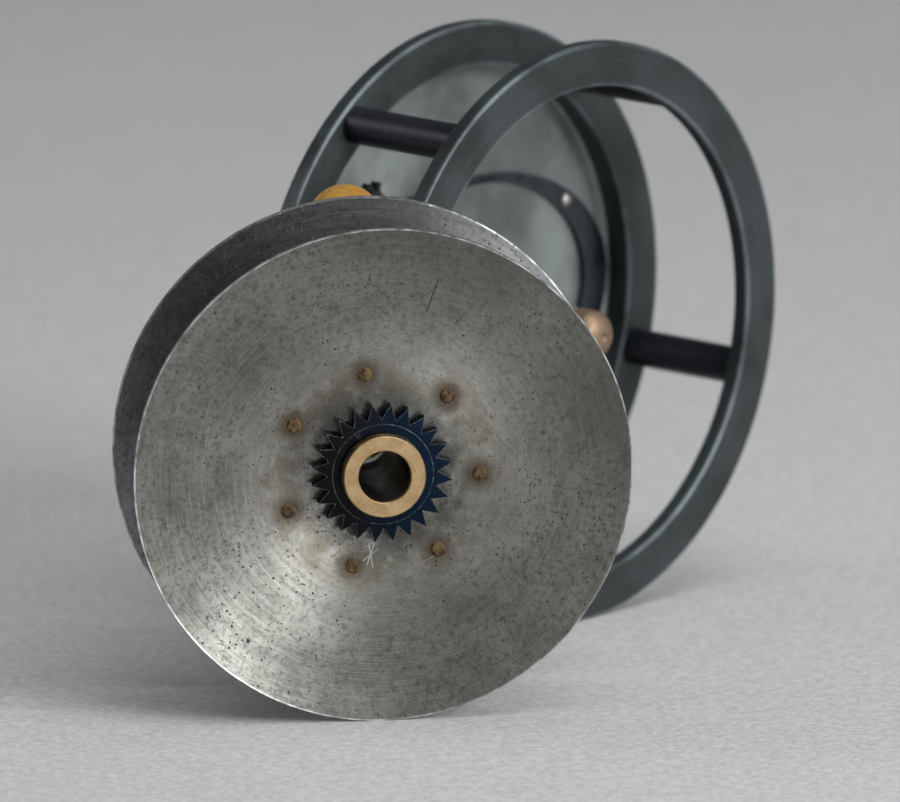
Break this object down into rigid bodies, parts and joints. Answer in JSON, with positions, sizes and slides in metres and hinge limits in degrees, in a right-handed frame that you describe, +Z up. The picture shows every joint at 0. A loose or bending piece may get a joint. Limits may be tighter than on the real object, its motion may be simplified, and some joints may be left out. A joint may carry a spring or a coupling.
{
  "type": "centre-pin fly reel",
  "caption": "Open-frame centre-pin fly reel taken apart: pillared cage with fixed spindle and click check, and a removable spool with latch and handle.",
  "frame": {"origin": "on the spindle's axis at the shoulder that the spool's bush rests on", "axes": "-Y along the spindle out of the cage's open side, +Z up, +X to the right seen from the open side; both halves stand on their rims"},
  "size_m": [0.1817, 0.0993, 0.1142],
  "materials": {
    "leaded_alloy": "satin",
    "leaded_plate": "satin",
    "pillar_finish": "satin",
    "bronze": "satin",
    "blued_steel": "satin",
    "pawl_steel": "satin",
    "brass": "satin",
    "steel": "satin",
    "spring_steel": "satin",
    "spool_alloy": "brushed",
    "spool_alloy_dark": "brushed",
    "rusty_rivet": "rough",
    "ivorine": "gloss"
  },
  "bodies": {
    "cage": {"front_ring": "leaded_alloy", "back_plate": "leaded_plate", "pillar_1": "pillar_finish", "pillar_2": "pillar_finish", "pillar_3": "pillar_finish", "pillar_4": "pillar_finish", "pillar_5": "pillar_finish", "spindle": "bronze", "spindle_nut": "bronze", "check_spring": "blued_steel", "check_spring_rivets": "steel", "pawl_posts": "steel", "foot_saddle": "brass", "reel_foot": "brass", "foot_screws": "steel"},
    "upper_pawl": {"upper_pawl": "pawl_steel"},
    "lower_pawl": {"lower_pawl": "pawl_steel"},
    "bush": {"bush": "bronze"},
    "spool": {"rear_flange": "spool_alloy", "front_flange": "spool_alloy_dark", "hub": "spool_alloy", "arbor": "spool_alloy_dark", "ratchet_wheel": "blued_steel", "rear_rivets": "rusty_rivet", "front_rivets": "rusty_rivet", "latch_housing": "brass", "latch_cover": "brass", "latch_screws": "steel", "latch_spring": "spring_steel", "handle_washer": "brass", "handle_post": "steel"},
    "latch": {"latch": "steel"},
    "handle": {"handle_knob": "ivorine"}
  },
  "joints": [
    {"name": "upper_pawl_rock", "type": "hinge", "parent": "cage", "child": "upper_pawl", "pos_m": [-0.01542, 0.0007, 0.01774], "axis": [0, -1, 0], "range_deg": [-12, 12], "stiffness_Nm_per_rad": 0.02},
    {"name": "lower_pawl_rock", "type": "hinge", "parent": "cage", "child": "lower_pawl", "pos_m": [-0.01542, 0.0007, -0.01774], "axis": [0, -1, 0], "range_deg": [-12, 12], "stiffness_Nm_per_rad": 0.02},
    {"name": "spool_swing", "type": "hinge", "parent": "cage", "child": "bush", "pos_m": [-0.04993, -0.09286, -0.00471], "axis": [-0.0932, 0.0335, 0.9951], "range_deg": [0, 219.42]},
    {"name": "spool_spin", "type": "hinge", "parent": "bush", "child": "spool", "pos_m": [-0.0878, -0.0603, -0.00935], "axis": [-0.6374, -0.7705, 0], "range_deg": [0, 170]},
    {"name": "latch_press", "type": "slide", "parent": "spool", "child": "latch", "axis": [0, 0, -1], "range_m": [0, 0.0012], "stiffness_N_per_m": 400, "springref_m": -0.001, "deforming": ["latch_spring"]},
    {"name": "knob_spin", "type": "hinge", "parent": "spool", "child": "handle", "pos_m": [-0.0878, -0.0603, 0.02925], "axis": [-0.6374, -0.7705, 0], "continuous": true}
  ]
}
